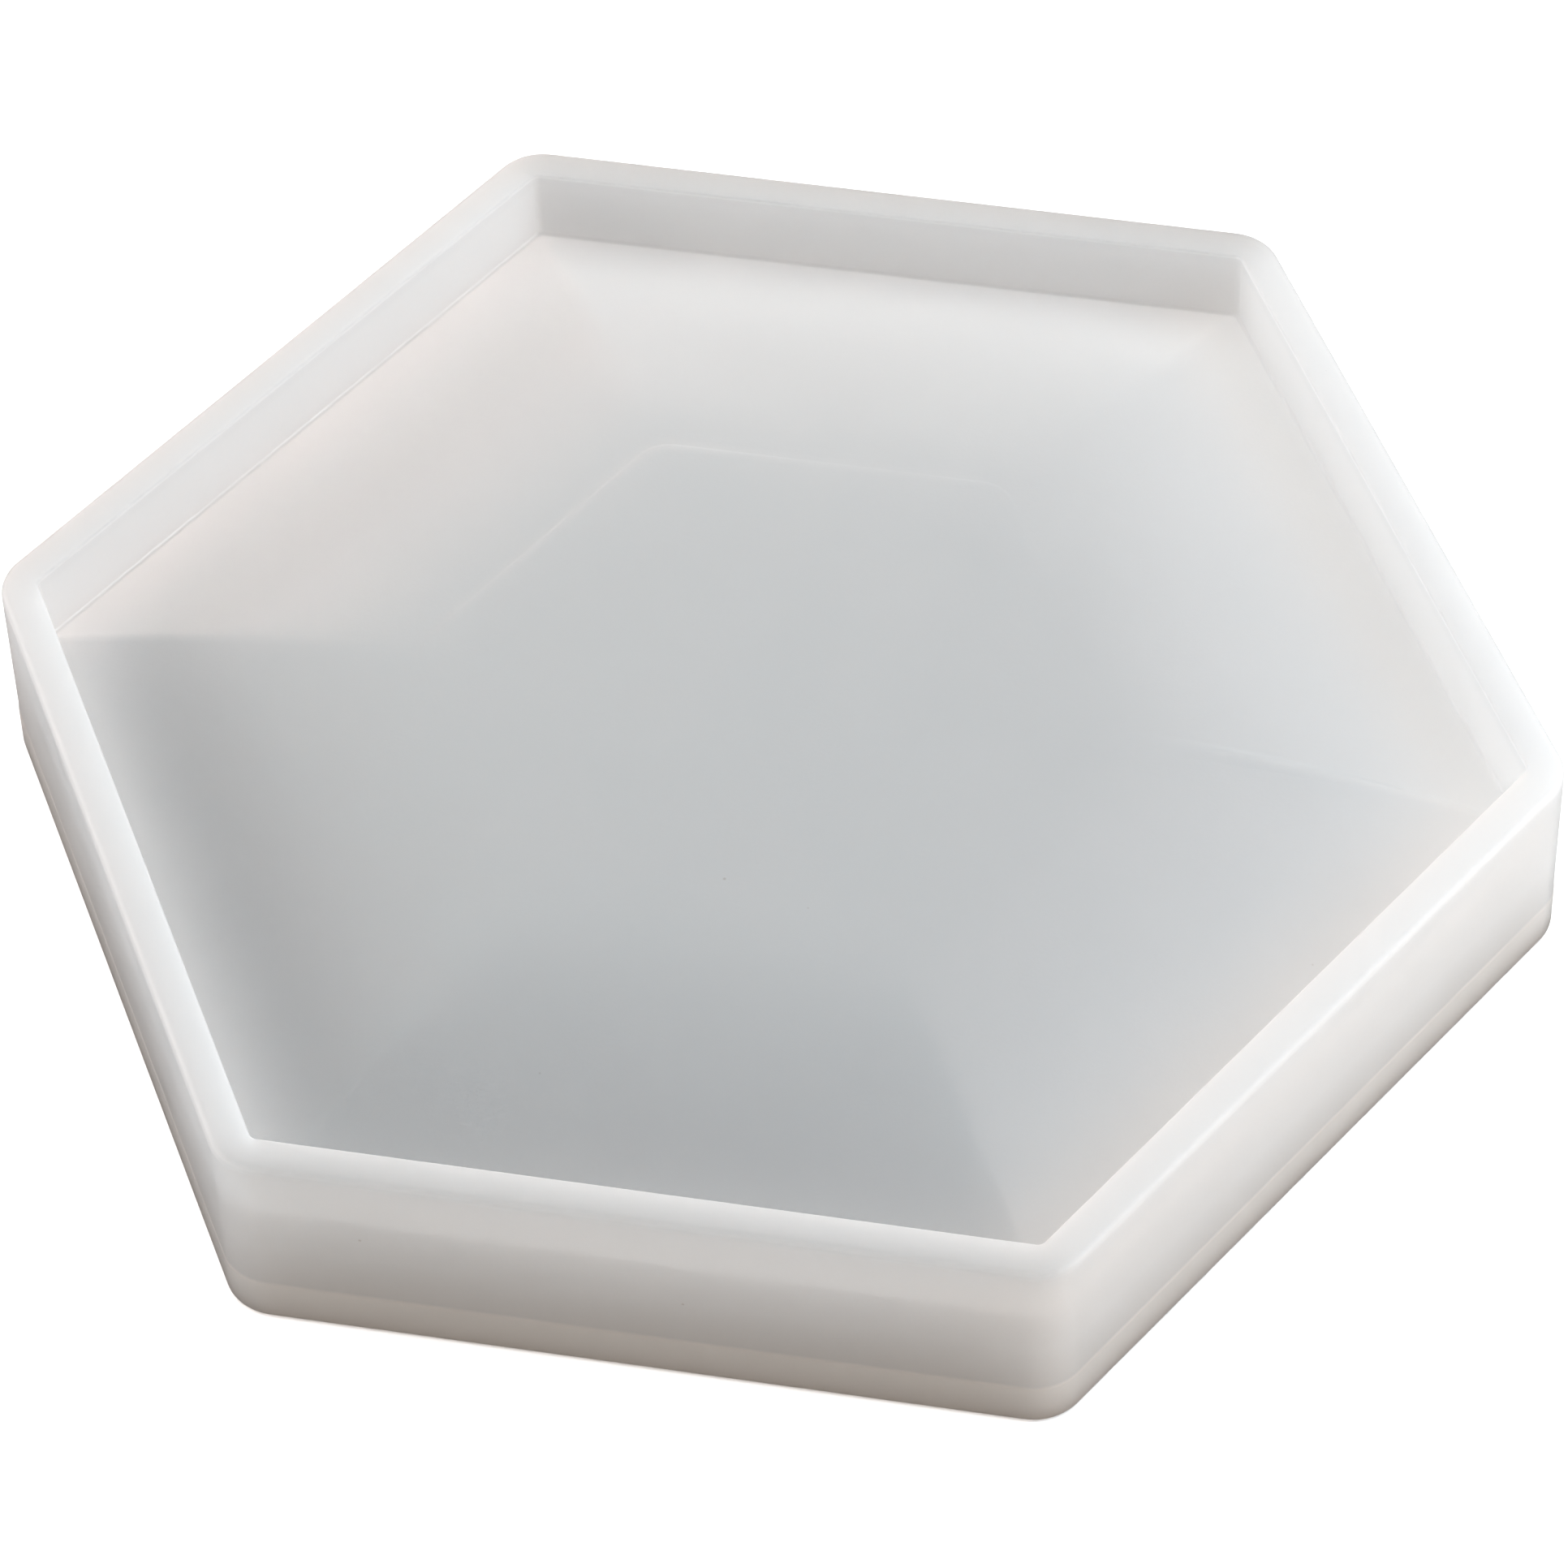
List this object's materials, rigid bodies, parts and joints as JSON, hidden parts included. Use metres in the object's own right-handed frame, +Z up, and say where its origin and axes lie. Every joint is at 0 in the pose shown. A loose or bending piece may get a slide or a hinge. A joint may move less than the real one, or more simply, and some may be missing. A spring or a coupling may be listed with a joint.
{
  "type": "resin casting mould",
  "caption": "Hexagonal open-top resin casting mould in milky silicone, a thick one-piece block with a shallow cavity whose floor crowns up to a flat plateau.",
  "frame": {"origin": "centre of the flat base, on the surface that the mould rests on", "axes": "+Z up out of the open cavity; +X across two opposite corners; two flat sides face -Y and +Y"},
  "size_m": [0.137, 0.12, 0.02],
  "materials": {
    "silicone": "milky translucent white silicone, satin gloss with a fine moulded texture"
  },
  "bodies": {
    "root": {"mould_body": "silicone"}
  },
  "joints": []
}
